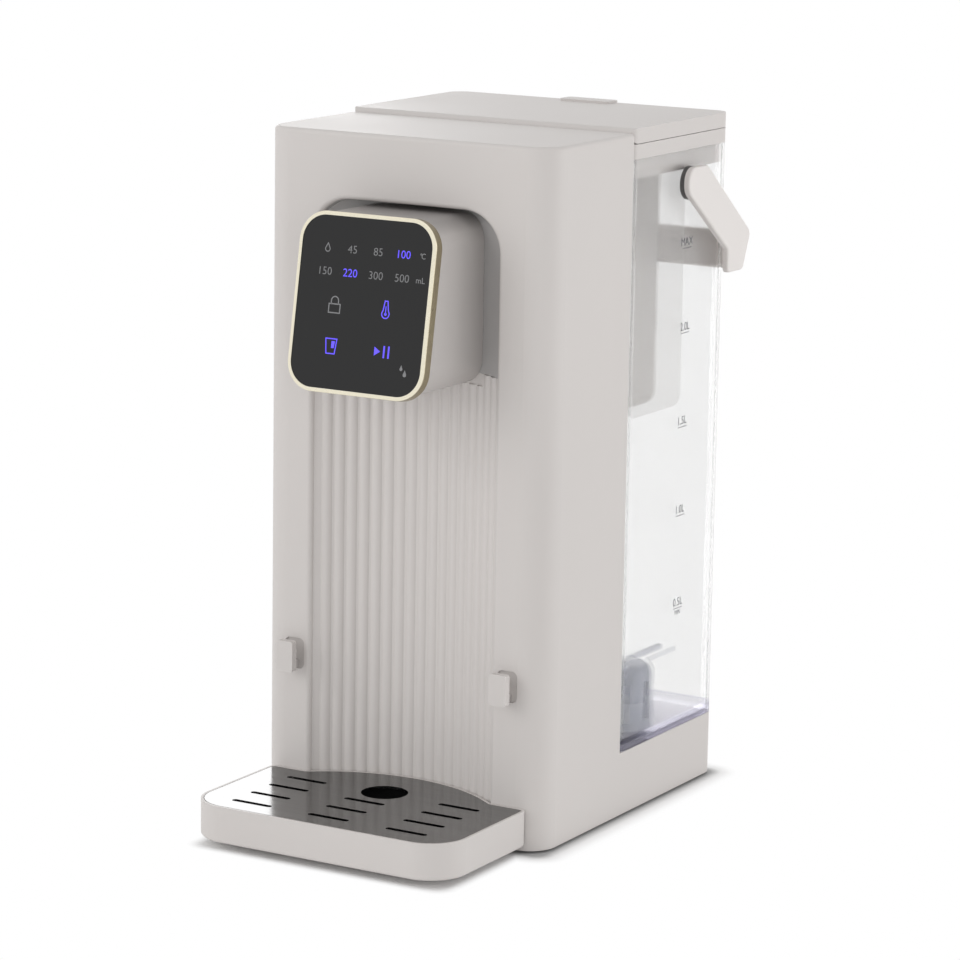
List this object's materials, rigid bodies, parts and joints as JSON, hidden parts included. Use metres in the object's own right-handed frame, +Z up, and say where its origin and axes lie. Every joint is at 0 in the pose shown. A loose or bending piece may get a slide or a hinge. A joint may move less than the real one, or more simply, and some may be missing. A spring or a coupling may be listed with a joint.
{
  "type": "hot water dispenser",
  "caption": "Countertop instant hot water dispenser with a tilted touch head over a fluted channel, a clear lift-off tank with a bail handle behind, and a pull-out drip tray.",
  "frame": {"origin": "on the table, under the middle of the whole outline", "axes": "+X to the right as seen from the front, +Y to the back, towards the tank, +Z up"},
  "size_m": [0.157, 0.2481, 0.313],
  "materials": {
    "shell_plastic": "fine satin moulding",
    "channel_plastic": "satin moulding",
    "head_plastic": "satin moulding",
    "dark_plastic": "smooth grey",
    "pivot_plastic": "smooth dark grey",
    "window_plastic": "smooth, a shade darker than the shell",
    "gold_trim": "pale champagne gold, satin",
    "black_glass": "black printed touch glass",
    "clear_plastic": "clear and polished",
    "translucent_grey": "smoky translucent",
    "frosted_plastic": "frosted body colour",
    "white_plastic": "moulded",
    "black_plastic": "moulded",
    "brushed_plate": "brushed along its width",
    "steel": "plain",
    "screw_steel": "zinc plated",
    "rubber": "matte",
    "silicone": "translucent white silicone",
    "board_laminate": "circuit board with solder mask",
    "copper_parts": "wound transformer and capacitors"
  },
  "bodies": {
    "base_unit": {"body_shell": "shell_plastic", "bottom_plate": "shell_plastic", "rubber_feet": "rubber", "bottom_screws": "screw_steel", "rear_panel": "shell_plastic", "panel_screws": "screw_steel", "base_deck": "shell_plastic", "valve_socket": "white_plastic", "seat_seal": "silicone", "cord_gland": "black_plastic", "channel_panel": "channel_plastic", "head_mount_plate": "dark_plastic", "head_shell": "head_plastic", "head_screws": "screw_steel", "bezel_ring": "gold_trim", "touch_glass": "black_glass", "panel_spacer": "black_plastic", "display_board": "board_laminate", "spout_nozzle": "dark_plastic", "pump_pad": "rubber", "pump_head": "white_plastic", "pump_motor": "steel", "heater_tube": "steel", "heater_caps": "white_plastic", "heater_clamps": "steel", "thermal_cutouts": "black_plastic", "temperature_probe": "steel", "inlet_hose": "silicone", "transfer_hose": "silicone", "outlet_hose": "silicone", "power_board": "board_laminate", "board_standoffs": "white_plastic", "board_parts": "copper_parts", "level_sensor": "black_plastic", "tray_hooks": "shell_plastic", "hook_windows": "window_plastic", "tray_prongs": "window_plastic"},
    "tank": {"tank_shell": "clear_plastic", "tank_rim": "shell_plastic", "rim_gasket": "silicone", "hinge_pins": "steel", "valve_body": "translucent_grey", "float_cage": "translucent_grey", "handle_pivots": "pivot_plastic", "valve_spring": "steel"},
    "lid": {"tank_lid": "shell_plastic"},
    "handle": {"tank_handle": "shell_plastic"},
    "funnel": {"filter_funnel": "frosted_plastic", "filter_cartridge": "white_plastic"},
    "valve": {"valve_plunger": "white_plastic", "valve_washer": "silicone"},
    "float": {"level_float": "white_plastic"},
    "tray": {"drip_tray": "shell_plastic"},
    "plate": {"drip_plate": "brushed_plate"}
  },
  "joints": [
    {"name": "tank_lift", "type": "slide", "parent": "base_unit", "child": "tank", "axis": [0, 0, 1], "range_m": [0, 0.15]},
    {"name": "lid_hinge", "type": "hinge", "parent": "tank", "child": "lid", "pos_m": [0, 0.02165, 0.30865], "axis": [1, 0, 0], "range_deg": [0, 95]},
    {"name": "handle_swing", "type": "hinge", "parent": "tank", "child": "handle", "pos_m": [0, 0.0697, 0.2835], "axis": [1, 0, 0], "range_deg": [0, 126.5]},
    {"name": "funnel_lift", "type": "slide", "parent": "tank", "child": "funnel", "axis": [0, 0, 1], "range_m": [0, 0.005]},
    {"name": "valve_press", "type": "slide", "parent": "tank", "child": "valve", "axis": [0, 0, 1], "range_m": [0, 0.003], "stiffness_N_per_m": 60, "springref_m": -0.004, "deforming": ["valve_spring"]},
    {"name": "float_rise", "type": "slide", "parent": "tank", "child": "float", "axis": [0, 0, 1], "range_m": [0, 0.01]},
    {"name": "tray_pull", "type": "slide", "parent": "base_unit", "child": "tray", "axis": [0, -1, 0], "range_m": [0, 0.08]},
    {"name": "plate_lift", "type": "slide", "parent": "tray", "child": "plate", "axis": [0, 0, 1], "range_m": [0, 0.04]}
  ]
}
